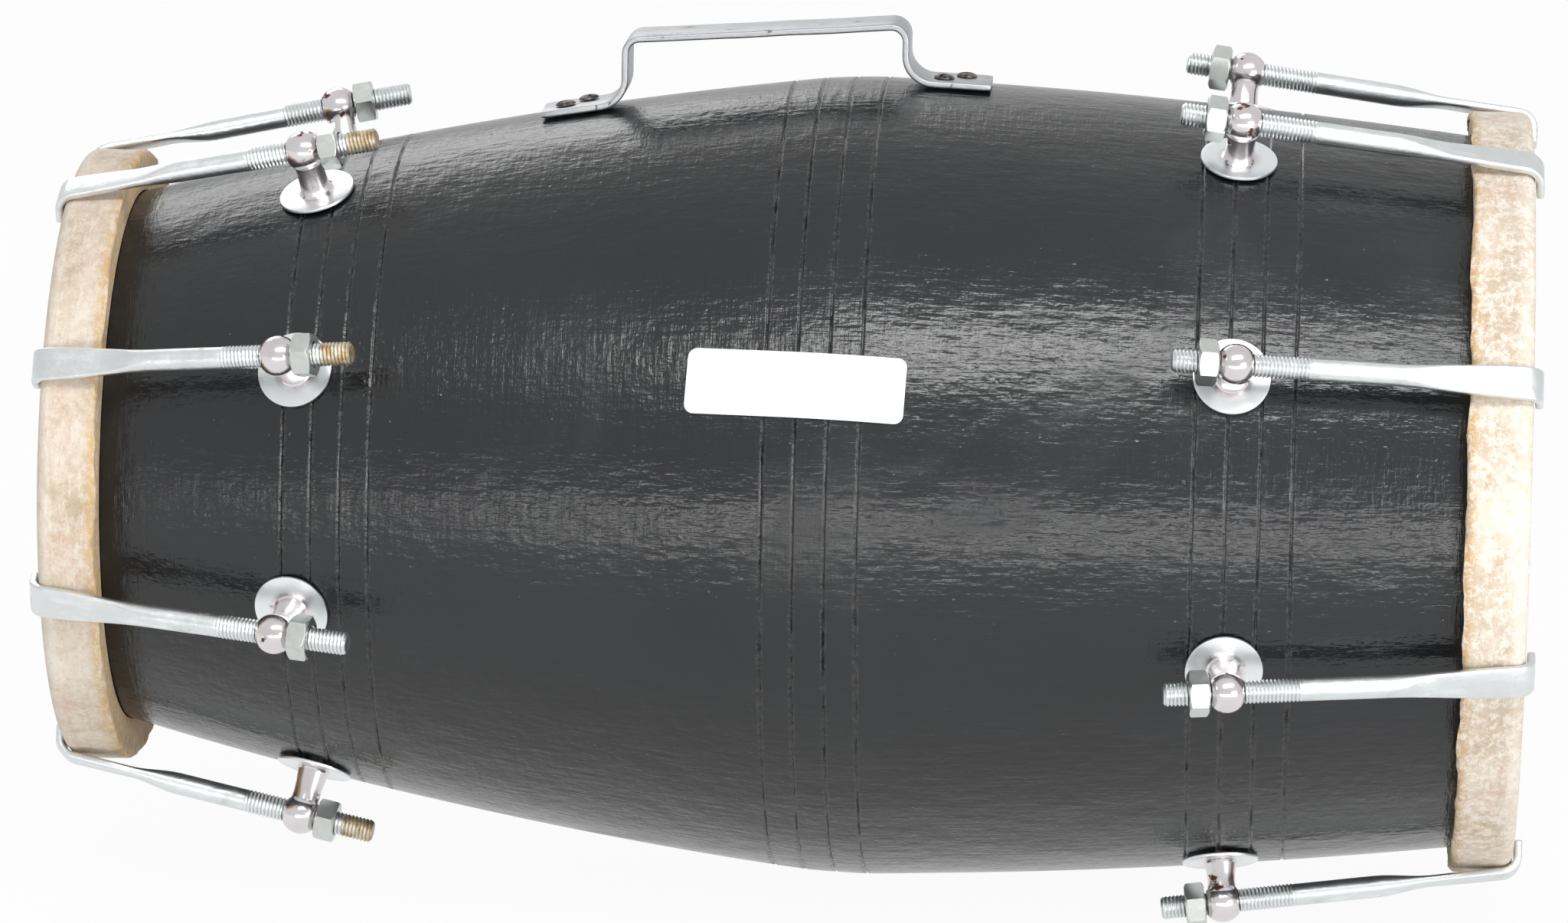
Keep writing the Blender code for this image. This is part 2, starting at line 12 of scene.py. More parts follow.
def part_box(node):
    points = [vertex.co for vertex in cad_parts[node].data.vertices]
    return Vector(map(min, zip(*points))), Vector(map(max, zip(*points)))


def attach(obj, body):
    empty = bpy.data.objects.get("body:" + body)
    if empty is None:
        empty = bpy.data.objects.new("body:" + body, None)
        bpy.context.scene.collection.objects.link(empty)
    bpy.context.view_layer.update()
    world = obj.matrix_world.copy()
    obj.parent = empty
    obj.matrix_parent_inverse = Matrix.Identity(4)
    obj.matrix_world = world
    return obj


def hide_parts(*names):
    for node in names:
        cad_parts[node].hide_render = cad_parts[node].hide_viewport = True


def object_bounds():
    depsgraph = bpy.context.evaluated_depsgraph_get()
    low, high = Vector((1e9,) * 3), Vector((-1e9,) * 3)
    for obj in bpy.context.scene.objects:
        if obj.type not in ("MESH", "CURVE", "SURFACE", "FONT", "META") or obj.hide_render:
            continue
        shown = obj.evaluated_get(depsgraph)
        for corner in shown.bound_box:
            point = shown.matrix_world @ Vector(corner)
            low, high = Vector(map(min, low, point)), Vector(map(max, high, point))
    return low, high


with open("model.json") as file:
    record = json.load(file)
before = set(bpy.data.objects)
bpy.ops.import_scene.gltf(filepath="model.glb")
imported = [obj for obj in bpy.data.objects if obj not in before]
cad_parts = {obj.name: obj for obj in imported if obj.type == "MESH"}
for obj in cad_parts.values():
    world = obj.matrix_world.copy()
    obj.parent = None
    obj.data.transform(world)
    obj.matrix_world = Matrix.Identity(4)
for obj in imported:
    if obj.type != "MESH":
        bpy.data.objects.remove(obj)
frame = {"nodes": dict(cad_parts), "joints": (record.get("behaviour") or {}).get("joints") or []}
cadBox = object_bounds()
joints = {joint["name"]: joint for joint in frame["joints"]}
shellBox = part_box("shell")
axis = (shellBox[0] + shellBox[1]) / 2  # middle of the drum's axis
print("frame loaded:", len(frame["nodes"]), "nodes")

clear = 0.0003  # gap between pieces that touch

# Shell: measured sizes, and how fine its mesh is
shell = {
    "bellyRadius": 0.1331,
    "bellyX": 0.017,
    "crest": 0.015,  # half the length over which the crest is rounded
    "wall": 0.011,
    "chamfer": 0.0025,
    "around": 384,
    "ringStep": 0.0045,
    "lumps": 0.00012,
}
grooves = {
    "groups": ((-0.1457, 0.0096), (0.0119, 0.0102), (0.1489, 0.0105)),
    "count": 4,
    "width": 0.0013,
    "depth": 0.00055,
    "burr": 0.00007,
    "wander": 0.00022,
}
rim = {
    "hide": 0.0015,
    "corner": 0.004,
    "hoopClear": 0.0006,
    "around": 288,
    "lumps": 0.0007,
    "ragged": 0.0011,
}
ends = {
    "treble": {
        "side": -1,
        "endRadius": 0.0834,
        "bulge": 0.00565,
        "postX": 0.1566,
        "threadPastNut": 0.0125,
        "threadLength": 0.0445,
        "flatLength": 0.036,
    },
    "bass": {
        "side": 1,
        "endRadius": 0.1155,
        "bulge": 0.0029,
        "postX": 0.1443,
        "threadPastNut": 0.0080,
        "threadLength": 0.0450,
        "flatLength": 0.042,
    },
}
hook = {
    "threadOuter": 0.0039,
    "threadInner": 0.00335,
    "pitch": 0.00125,
    "ringsPerTurn": 6,
    "shank": 0.0036,
    "chamfer": 0.0008,
    "width": 0.011,
    "thickness": 0.0026,
    "edge": 0.0009,
    "seat": 0.0004,
    "lipDrop": 0.009,
    "perCorner": 5,
}
nut = {"across": 0.013, "thickness": 0.0065, "bore": 0.00402, "round": 0.00625, "perSide": 8}
post = {
    "ball": 0.0066,
    "flats": 0.011,
    "neck": 0.0047,
    "foot": 0.0058,
    "washer": 0.0125,
    "washerThickness": 0.0012,
    "shank": 0.004,
    "inside": 0.0205,
    "eye": 0.0042,
    "clampAcross": 0.013,
    "clampThickness": 0.005,
    "around": 56,
}
handle = {
    "thickness": 0.0022,
    "width": 0.0215,
    "edge": 0.0007,
    "trebleX": -0.0585,
    "bassX": 0.0340,
    "trebleZ": 0.1458,
    "bassZ": 0.1526,
    "foot": 0.028,
    "gripBend": 0.0048,
    "footBend": 0.0095,
    "bow": 0.0007,
}
screw = {"radius": 0.0018, "length": 0.011, "head": 0.0034, "height": 0.0013, "slot": 0.0008, "slotDepth": 0.0007}
plate = {
    "length": 0.070,
    "height": 0.0213,
    "thickness": 0.0005,
    "corner": 0.003,
    "x": 0.0064,
    "azimuth": 66.0,
    "tilt": 2.4,
}


class Wire:
    # One output of a shader node, which Python's operators join to others
    def __init__(self, finish, socket):
        self.finish = finish
        self.socket = socket

    def math(self, operation, *others):
        sockets = dict(enumerate((self, *others)))
        return self.finish.node("ShaderNodeMath", {"operation": operation}, sockets)

    def __add__(self, other):
        return self.math("ADD", other)

    def __mul__(self, other):
        return self.math("MULTIPLY", other)

    def __sub__(self, other):
        return self.math("SUBTRACT", other)

    def __rsub__(self, other):
        return self.finish.node("ShaderNodeMath", {"operation": "SUBTRACT"}, {0: other, 1: self})

    def __pow__(self, other):
        return self.math("POWER", other)

    __radd__ = __add__
    __rmul__ = __mul__


class Finish:
    # A material with one Principled shader
    def __init__(self, name, roughness=0.5, metallic=0.0, **fixed):
        self.material = bpy.data.materials.new(name)
        self.material.use_nodes = True
        self.tree = self.material.node_tree
        self.shader = self.tree.nodes["Principled BSDF"]
        self.set("Roughness", roughness)
        self.set("Metallic", metallic)
        for label, value in fixed.items():
            self.set(label.replace("_", " "), value)
        self.place = self.node("ShaderNodeTexCoord", out="Object")

    def node(self, kind, settings=None, sockets=None, out=0):
        made = self.tree.nodes.new(kind)
        for key, value in (settings or {}).items():
            if key == "stops":
                ramp = made.color_ramp
                while len(ramp.elements) < len(value):
                    ramp.elements.new(1.0)
                for element, (where, shade) in zip(ramp.elements, value):
                    element.position = where
                    element.color = shade
            else:
                setattr(made, key, value)
        for key, value in (sockets or {}).items():
            self.join(made.inputs[key], value)
        return Wire(self, made.outputs[out])

    def join(self, socket, value):
        if isinstance(value, Wire):
            self.tree.links.new(value.socket, socket)
        else:
            socket.default_value = value

    def set(self, label, value):
        self.join(self.shader.inputs[label], value)

    def stretch(self, factors):
        return self.node("ShaderNodeVectorMath", {"operation": "MULTIPLY"}, {0: self.place, 1: factors})

    def noise(self, scale, detail=3.0, rough=0.55, stretch=None, distortion=0.0):
        place = self.place if stretch is None else self.stretch(stretch)
        sockets = {"Vector": place, "Scale": scale, "Detail": detail, "Roughness": rough, "Distortion": distortion}
        return self.node("ShaderNodeTexNoise", None, sockets)

    def cells(self, scale, stretch=None, feature="F1"):
        place = self.place if stretch is None else self.stretch(stretch)
        return self.node("ShaderNodeTexVoronoi", {"feature": feature}, {"Vector": place, "Scale": scale})

    def spread(self, value, low, high, first=0.0, last=1.0):
        # The value's stretch from low to high becomes first to last
        sockets = {0: value, 1: low, 2: high, 3: first, 4: last}
        return self.node("ShaderNodeMapRange", {"interpolation_type": "SMOOTHSTEP"}, sockets)

    def mix(self, first, second, share):
        sockets = {0: share, 6: first, 7: second}
        return self.node("ShaderNodeMix", {"data_type": "RGBA"}, sockets, out=2)

    def mark(self, name):
        return self.node("ShaderNodeAttribute", {"attribute_name": name}, out="Fac")

    def bump(self, height, distance, strength=1.0, under=None):
        sockets = {"Height": height, "Distance": distance, "Strength": strength}
        if under is not None:
            sockets["Normal"] = under
        return self.node("ShaderNodeBump", None, sockets)


def shade(red, green, blue):
    return (red, green, blue, 1.0)


def lacquerFinish():
    made = Finish("black lacquer", IOR=1.5, Specular_IOR_Level=0.62)
    broad = made.noise(9.0, 3.0, 0.6)
    brushed = made.noise(55.0, 4.0, 0.65, stretch=(9.0, 1.0, 1.0))
    weave = made.noise(60.0, 3.0, 0.6, stretch=(1.0, 7.0, 7.0))
    worn = made.spread(made.noise(6.5, 4.0, 0.7, distortion=0.6), 0.53, 0.68)
    specks = made.spread(made.cells(420.0), 0.10, 0.06)
    dust = made.spread(made.noise(130.0, 2.0), 0.60, 0.70) * specks
    scribe = made.mark("scribe")
    chips = scribe * made.spread(made.noise(520.0, 4.0, 0.75), 0.47, 0.60)
    colour = made.mix(shade(0.003, 0.0036, 0.0046), shade(0.010, 0.0115, 0.0138), broad)
    colour = made.mix(colour, shade(0.016, 0.017, 0.018), worn * brushed)
    colour = made.mix(colour, shade(0.16, 0.155, 0.15), dust * 0.55)
    colour = made.mix(colour, shade(0.075, 0.072, 0.068), chips * 0.55)
    made.set("Base Color", colour)
    rough = 0.14 + 0.10 * broad + 0.14 * worn * (brushed + weave) + 0.30 * chips
    made.set("Roughness", rough)
    peel = made.bump(made.noise(95.0, 3.0, 0.6), 0.0012, 0.50)
    sags = made.bump(made.noise(26.0, 2.0, 0.5, stretch=(0.45, 1.0, 1.0)), 0.0030, 0.30, peel)
    strokes = made.bump(brushed + weave, 0.00034, 0.80, sags)
    grit = made.bump(made.noise(650.0, 3.0, 0.7), 0.00016, 0.45, strokes)
    pits = made.bump(made.spread(made.cells(150.0), 0.02, 0.13), 0.00024, 0.50, grit)
    made.set("Normal", pits)
    return made.material


def hideFinish(name, side, margin, pale):
    made = Finish(name, Specular_IOR_Level=0.35)
    parts = made.node("ShaderNodeSeparateXYZ", None, {0: made.place}, out="X")
    inward = made.spread(parts * side, margin, margin + 0.0042, 1.0, 0.0)
    fold = made.spread(parts * side, margin + 0.0128, margin + 0.0168, 0.0, 1.0)
    patches = made.noise(22.0, 5.0, 0.65, distortion=0.5)
    blush = made.spread(made.noise(31.0, 3.0, 0.6, distortion=1.2), 0.50, 0.68)
    tan = made.spread(made.noise(47.0, 4.0, 0.7, distortion=0.8), 0.54, 0.70)
    fibre = made.noise(140.0, 4.0, 0.7, stretch=(4.0, 1.0, 1.0))
    grain = made.noise(900.0, 3.0, 0.6)
    stops = ((0.30, shade(0.46, 0.36, 0.25)), (0.47, shade(0.63, 0.52, 0.40)), (0.66, shade(0.78, 0.71, 0.61)))
    colour = made.node("ShaderNodeValToRGB", {"stops": stops}, {0: patches})
    colour = made.mix(colour, shade(0.66, 0.48, 0.39), blush * 0.50)
    colour = made.mix(colour, shade(0.47, 0.34, 0.20), tan * 0.55)
    colour = made.mix(colour, shade(0.86, 0.81, 0.73), made.spread(fibre, 0.52, 0.70) * 0.45)
    colour = made.mix(colour, shade(0.34, 0.24, 0.15), made.spread(grain * fibre, 0.20, 0.12) * 0.35)
    colour = made.mix(colour, shade(0.58, 0.36, 0.14), inward * made.spread(fibre, 0.30, 0.56) * 0.85)
    colour = made.mix(colour, shade(0.84, 0.78, 0.69), fold * 0.40)
    fuzz = made.spread(made.noise(330.0, 5.0, 0.8), 0.44, 0.60)
    colour = made.mix(colour, shade(0.88, 0.84, 0.77), fuzz * pale)
    colour = made.mix(colour, shade(0.52, 0.43, 0.33), made.spread(made.noise(410.0, 4.0, 0.8), 0.56, 0.66) * 0.30)
    made.set("Base Color", colour)
    made.set("Roughness", 0.62 + 0.26 * patches)
    lumps = made.bump(patches, 0.0022, 0.55)
    strands = made.bump(fibre, 0.0006, 0.60, lumps)
    made.set("Normal", made.bump(grain, 0.00016, 0.60, strands))
    return made.material


def zincFinish():
    # Forged and plated steel of the hooks
    made = Finish("satin zinc", metallic=1.0)
    cloud = made.noise(90.0, 4.0, 0.65)
    streak = made.noise(210.0, 4.0, 0.7, stretch=(0.22, 1.0, 1.0))
    stain = made.spread(made.noise(60.0, 4.0, 0.7, distortion=0.7), 0.60, 0.74)
    root = made.mark("root")
    colour = made.mix(shade(0.66, 0.69, 0.70), shade(0.86, 0.885, 0.89), cloud)
    colour = made.mix(colour, shade(0.93, 0.95, 0.95), made.spread(streak, 0.52, 0.68) * 0.6)
    colour = made.mix(colour, shade(0.50, 0.48, 0.44), stain * 0.35)
    colour = made.mix(colour, shade(0.36, 0.37, 0.36), root * 0.65)
    made.set("Base Color", colour)
    made.set("Roughness", 0.25 + 0.22 * cloud + 0.20 * stain)
    dents = made.bump(made.noise(150.0, 3.0, 0.6), 0.0006, 0.55)
    made.set("Normal", made.bump(streak, 0.00008, 0.50, dents))
    return made.material


def brassedFinish():
    # The same plating where it has turned yellow-brown at a thread's end
    made = Finish("tarnished thread", metallic=1.0)
    cloud = made.noise(260.0, 4.0, 0.7)
    root = made.mark("root")
    colour = made.mix(shade(0.42, 0.31, 0.17), shade(0.74, 0.70, 0.60), made.spread(cloud, 0.35, 0.65))
    colour = made.mix(colour, shade(0.30, 0.22, 0.13), root * 0.7)
    made.set("Base Color", colour)
    made.set("Roughness", 0.38 + 0.3 * cloud)
    made.set("Normal", made.bump(cloud, 0.0002, 0.5))
    return made.material


def ballFinish():
    # Polished ball, neck and washer, with spots where the plating has rusted through
    made = Finish("polished zinc", metallic=1.0)
    where = made.node("ShaderNodeObjectInfo", out="Random")
    shift = made.node("ShaderNodeCombineXYZ", None, {0: where, 1: where * 3.0, 2: where * 7.0})
    moved = made.node("ShaderNodeVectorMath", {"operation": "ADD"}, {0: made.place, 1: shift})
    patch = made.node("ShaderNodeTexNoise", None, {"Vector": moved, "Scale": 150.0, "Detail": 4.0})
    washer = made.mark("washer")
    rust = made.spread(patch, 0.62, 0.66) * (1.0 - washer)
    cloud = made.noise(120.0, 4.0, 0.6)
    fine = made.noise(700.0, 3.0, 0.6, stretch=(1.0, 1.0, 0.3))
    colour = made.mix(shade(0.64, 0.60, 0.61), shade(0.84, 0.81, 0.82), cloud)
    colour = made.mix(colour, shade(0.90, 0.93, 0.94), washer * 0.9)
    colour = made.mix(colour, shade(0.085, 0.022, 0.014), rust)
    made.set("Base Color", colour)
    made.set("Metallic", 1.0 - 0.8 * rust)
    made.set("Roughness", 0.13 + 0.10 * cloud + 0.16 * washer + 0.5 * rust)
    made.set("Normal", made.bump(fine, 0.00005, 0.35, made.bump(rust, 0.0002, 0.5)))
    return made.material


def nutFinish():
    made = Finish("nut steel", metallic=1.0)
    cloud = made.noise(150.0, 4.0, 0.65)
    scratch = made.noise(420.0, 4.0, 0.7, stretch=(1.0, 0.2, 1.0))
    grime = made.spread(made.noise(95.0, 4.0, 0.7, distortion=0.8), 0.56, 0.70)
    colour = made.mix(shade(0.50, 0.53, 0.52), shade(0.78, 0.80, 0.77), cloud)
    colour = made.mix(colour, shade(0.42, 0.40, 0.34), grime * 0.4)
    made.set("Base Color", colour)
    made.set("Roughness", 0.24 + 0.18 * cloud + 0.2 * grime)
    made.set("Normal", made.bump(scratch, 0.0001, 0.5, made.bump(cloud, 0.0003, 0.3)))
    return made.material


def stripFinish():
    # Dull strip steel with dark scratches along it
    made = Finish("dull steel strip", metallic=1.0)
    cloud = made.noise(60.0, 5.0, 0.7)
    along = made.noise(170.0, 4.0, 0.75, stretch=(0.12, 1.0, 0.12))
    nicks = made.spread(made.noise(230.0, 3.0, 0.8, stretch=(0.35, 1.0, 0.35), distortion=1.0), 0.62, 0.68)
    colour = made.mix(shade(0.34, 0.35, 0.36), shade(0.50, 0.51, 0.52), cloud)
    colour = made.mix(colour, shade(0.60, 0.61, 0.62), made.spread(along, 0.5, 0.7) * 0.5)
    colour = made.mix(colour, shade(0.09, 0.085, 0.08), nicks * 0.8)
    made.set("Base Color", colour)
    made.set("Metallic", 1.0 - 0.35 * nicks)
    made.set("Roughness", 0.34 + 0.22 * cloud + 0.15 * nicks)
    made.set("Normal", made.bump(along, 0.00016, 0.6, made.bump(cloud, 0.0006, 0.4)))
    return made.material


def plainFinish(name, dark, light, roughness, metallic, scale, height):
    # A two-tone mottled finish for small and inner pieces
    made = Finish(name, metallic=metallic)
    cloud = made.noise(scale, 5.0, 0.65)
    fine = made.noise(scale * 6.0, 3.0, 0.6)
    made.set("Base Color", made.mix(dark, light, made.spread(cloud, 0.35, 0.65)))
    made.set("Roughness", roughness * (0.8 + 0.4 * fine))
    made.set("Normal", made.bump(fine, height, 0.5))
    return made.material


def smooth(mesh, degrees=35.0):
    mesh.shade_smooth()
    mesh.set_sharp_from_angle(angle=math.radians(degrees))


def newObject(name, mesh, material, place=None):
    made = bpy.data.objects.new(name, mesh)
    bpy.context.scene.collection.objects.link(made)
    if material is not None and not mesh.materials:
        mesh.materials.append(material)
    if place is not None:
        made.matrix_world = place
    return made


def setMarks(mesh, name, values):
    layer = mesh.attributes.new(name, "FLOAT", "POINT")
    layer.data.foreach_set("value", values)


def ringMesh(name, rings, closedAlong=False, capFirst=False, capLast=False):
    # Skins a list of rings, each with the same number of points; a ring of one point is a tip
    points = []
    starts = []
    for ring in rings:
        starts.append(len(points))
        points.extend(ring)
    faces = []
    pairs = list(zip(range(len(rings)), range(1, len(rings))))
    if closedAlong:
        pairs.append((len(rings) - 1, 0))
    for first, second in pairs:
        countA, countB = len(rings[first]), len(rings[second])
        for i in range(max(countA, countB)):
            a, b = starts[first] + i % countA, starts[first] + (i + 1) % countA
            c, d = starts[second] + (i + 1) % countB, starts[second] + i % countB
            corners = [a, b, c, d]
            if countA == 1:
                corners = [a, c, d]
            if countB == 1:
                corners = [a, b, c]
            faces.append(corners)
    if capFirst:
        faces.append(list(range(starts[0], starts[0] + len(rings[0])))[::-1])
    if capLast:
        faces.append(list(range(starts[-1], starts[-1] + len(rings[-1]))))
    mesh = bpy.data.meshes.new(name)
    mesh.from_pydata([tuple(point) for point in points], [], faces)
    fixed = bmesh.new()
    fixed.from_mesh(mesh)
    fixed.normal_update()
    bmesh.ops.recalc_face_normals(fixed, faces=fixed.faces)
    fixed.to_mesh(mesh)
    fixed.free()
    return mesh


def roundX(radius, x, angle):
    # A point about the drum's axis; the angle is an azimuth in radians
    return Vector((x, -radius * math.sin(angle), radius * math.cos(angle)))


def rough3(place, scale, seed=0.0):
    return noise.noise(Vector(place) * scale + Vector((seed, -seed, 2.0 * seed)))


def shellRadius(x):
    end = ends["bass"] if x > shell["bellyX"] else ends["treble"]
    span = halfLength - end["side"] * shell["bellyX"]
    along = abs(x - shell["bellyX"]) / span
    fall = (end["endRadius"] - shell["bellyRadius"]) * along
    return shell["bellyRadius"] + fall + 4 * end["bulge"] * along * (1 - along)


def crestRadius(x):
    # The shell's radius with its crest rounded off
    steps = 8
    reach = max(0.0, shell["crest"] - abs(x - shell["bellyX"]) * 0.35)
    spots = [x + reach * (2 * i / steps - 1) for i in range(steps + 1)]
    return sum(shellRadius(spot) for spot in spots) / len(spots)


def shellSlope(x):
    step = 0.0005
    return math.atan((shellRadius(x - step) - shellRadius(x + step)) / (2 * step))


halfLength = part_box("bass_skin")[1].x
for endName, end in ends.items():
    low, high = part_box(f"{endName}_skin")
    end["rimRadius"] = (high.z - low.z) / 2
    end["innerX"] = low.x if end["side"] > 0 else -high.x
    end["bore"] = shellRadius(end["side"] * end["innerX"]) + rim["hoopClear"]


def grooveLines():
    middle = (grooves["count"] - 1) / 2
    return [x + (i - middle) * pitch for x, pitch in grooves["groups"] for i in range(grooves["count"])]


def grooveCut(x, angle, lines):
    # How deep the scribed lines cut at a place, and how much of a light burr it has
    depth = 0.0
    burr = 0.0
    for number, line in enumerate(lines):
        if abs(x - line) > 3 * grooves["width"]:
            continue
        around = Vector((math.cos(angle), math.sin(angle), number * 5.0))
        wander = grooves["wander"] * (noise.noise(around * 2.5) + 0.5 * noise.noise(around * 14.0))
        width = grooves["width"] / 2 * (1.0 + 0.35 * noise.noise(around * 22.0))
        deep = grooves["depth"] * (0.85 + 0.4 * noise.noise(around * 17.0))
        off = abs(x - line - wander)
        depth += deep * max(0.0, 1.0 - off / width)
        edge = math.exp(-(((off - width * 1.05) / (width * 0.45)) ** 2))
        depth -= grooves["burr"] * edge * (0.6 + 0.8 * noise.noise(around * 40.0))
        burr = max(burr, edge, 0.8 * max(0.0, 1.0 - off / width))
    return depth, burr


def makeShell(material):
    lines = grooveLines()
    edge = halfLength - rim["hide"] - clear
    count = round(2 * edge / shell["ringStep"])
    places = [edge - 2 * edge * i / count for i in range(count + 1)]
    width = grooves["width"]
    near = [width * share for share in (-1.0, -0.7, -0.5, -0.33, -0.16, 0.0, 0.16, 0.33, 0.5, 0.7, 1.0)]
    places = [x for x in places if min(abs(x - line) for line in lines) > 1.25 * width]
    places += [line + off for line in lines for off in near]
    places.sort(reverse=True)
    rings = []
    marks = []
    for x in places:
        radius = crestRadius(x)
        if abs(x) > edge - shell["chamfer"]:
            radius -= abs(x) - edge + shell["chamfer"]
        ring = []
        for i in range(shell["around"]):
            angle = math.tau * i / shell["around"]
            depth, burr = grooveCut(x, angle, lines)
            point = roundX(radius, x, angle)
            lump = shell["lumps"] * (rough3(point, 22.0) - 1.0)
            ring.append(roundX(radius - depth + lump, x, angle))
            marks.append(burr)
        rings.append(ring)
    boreSteps = 24
    for i in range(boreSteps + 1):
        x = -edge + 2 * edge * i / boreSteps
        radius = shellRadius(x) - shell["wall"]
        rings.append([roundX(radius, x, math.tau * j / shell["around"]) for j in range(shell["around"])])
        marks += [0.0] * shell["around"]
    mesh = ringMesh("shell_body", rings, closedAlong=True)
    setMarks(mesh, "scribe", marks)
    smooth(mesh, 60.0)
    made = newObject("shell_body", mesh, material, Matrix.Translation(axis))
    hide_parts("shell")
    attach(made, "drum")


def makeHead(endName, material):
    # Rawhide drawn over its hoop: a head, a rounded corner, an outer band and a ragged inner margin
    end = ends[endName]
    side = end["side"]
    hide, corner, face = rim["hide"], rim["corner"], halfLength
    radius, innerX, bore = end["rimRadius"], end["innerX"], end["bore"]
    outline = [(0.0, face, 0.0)]
    flat = radius - corner
    outline += [(flat * share, face, 0.25) for share in (0.15, 0.3, 0.45, 0.6, 0.72, 0.82, 0.9, 0.96)]
    for step in range(9):
        angle = math.radians(90 * step / 8)
        place = (flat + corner * math.sin(angle), face - corner * (1 - math.cos(angle)))
        outline.append((*place, 0.25 + 0.5 * step / 8))
    bandSteps = 12
    bandStart = face - corner
    for step in range(1, bandSteps + 1):
        outline.append((radius, bandStart + (innerX + 0.0008 - bandStart) * step / bandSteps, 1.0))
    outline += [(radius - 0.0007, innerX, 1.2), (radius - 0.0024, innerX - 0.0001, 1.2)]
    outline += [(radius + (bore - radius) * share, innerX, 1.0) for share in (0.3, 0.55, 0.8)]
    outline += [(bore, innerX, 0.6), (bore, innerX + hide, 0.3)]
    outline += [(radius - hide - 0.0008, innerX + hide, 0.0), (radius - hide - 0.0008, bandStart, 0.0)]
    outline += [(flat, face - hide, 0.0), (0.0, face - hide, 0.0)]
    rings = []
    for ringRadius, x, play in outline:
        if ringRadius == 0.0:
            rings.append([Vector((side * x, 0.0, 0.0))])
            continue
        ring = []
        for i in range(rim["around"]):
            angle = math.tau * i / rim["around"]
            spot = roundX(ringRadius, side * x, angle)
            lump = rim["lumps"] * play * (0.6 * rough3(spot, 38.0) + 0.3 * rough3(spot, 120.0) - 0.75)
            tear = rim["ragged"] * (rough3(spot, 60.0, 3.0) + 0.5 * rough3(spot, 210.0, 5.0))
            tear *= max(0.0, play - 0.9) / 0.3
            tear -= rim["ragged"] * 0.4 * max(0.0, play - 0.9) / 0.3
            sink = 0.0
            if play == 0.25:
                sink = 0.0002 * (rough3(spot, 30.0, 7.0) - 1.0)
            squeeze = lump if play > 0.25 else 0.0
            ring.append(roundX(ringRadius + squeeze, side * (x + tear + sink), angle))
        rings.append(ring)
    mesh = ringMesh(f"{endName}_rawhide", rings)
    smooth(mesh, 50.0)
    made = newObject(f"{endName}_rawhide", mesh, material, Matrix.Translation(axis))
    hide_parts(f"{endName}_skin")
    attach(made, "drum")


def section(width, thickness, corner):
    # A rounded rectangle, or a circle where the corner is half its width
    points = []
    count = hook["perCorner"]
    for quarter, (across, up) in enumerate(((1, 1), (-1, 1), (-1, -1), (1, -1))):
        for step in range(count):
            angle = math.radians(90 * quarter + 90 * (step + 0.5) / count)
            y = across * (width / 2 - corner) + corner * math.cos(angle)
            z = up * (thickness / 2 - corner) + corner * math.sin(angle)
            points.append((y, z))
    return points


def nutPlace():
    near = post["flats"] / 2 + clear
    return near, near + nut["thickness"]


def hookFrame(endName, number):
    # The rod's line from its joint: +X runs out to the rim and +Z away from the drum
    joint = joints[f"{endName}_nut_{number}_turn"]
    eye = Vector(joint["pos_m"])
    along = -Vector(joint["axis"]).normalized()
    out = Vector((0.0, eye.y - axis.y, eye.z - axis.z))
    out = (out - along * out.dot(along)).normalized()
    across = out.cross(along)
    turn = Matrix((along, across, out)).transposed()
    return Matrix.Translation(eye) @ turn.to_4x4()


def hookBend(endName):
    # Where the rod's line starts to bend over the rim, how far it turns, and its radius there
    end = ends[endName]
    place = hookFrame(endName, 1)
    eye = place.translation - axis
    reachOut = math.hypot(eye.y, eye.z)
    centre = Vector((halfLength - rim["corner"], end["rimRadius"] - rim["corner"]))
    fall = Vector((abs(eye.x), reachOut)) - centre
    radius = rim["corner"] + hook["seat"] + hook["thickness"] / 2
    start = math.sqrt(fall.length_squared - radius**2)
    turn = math.acos(abs(place.to_3x3().col[0].x))
    return start, math.pi / 2 - turn, radius


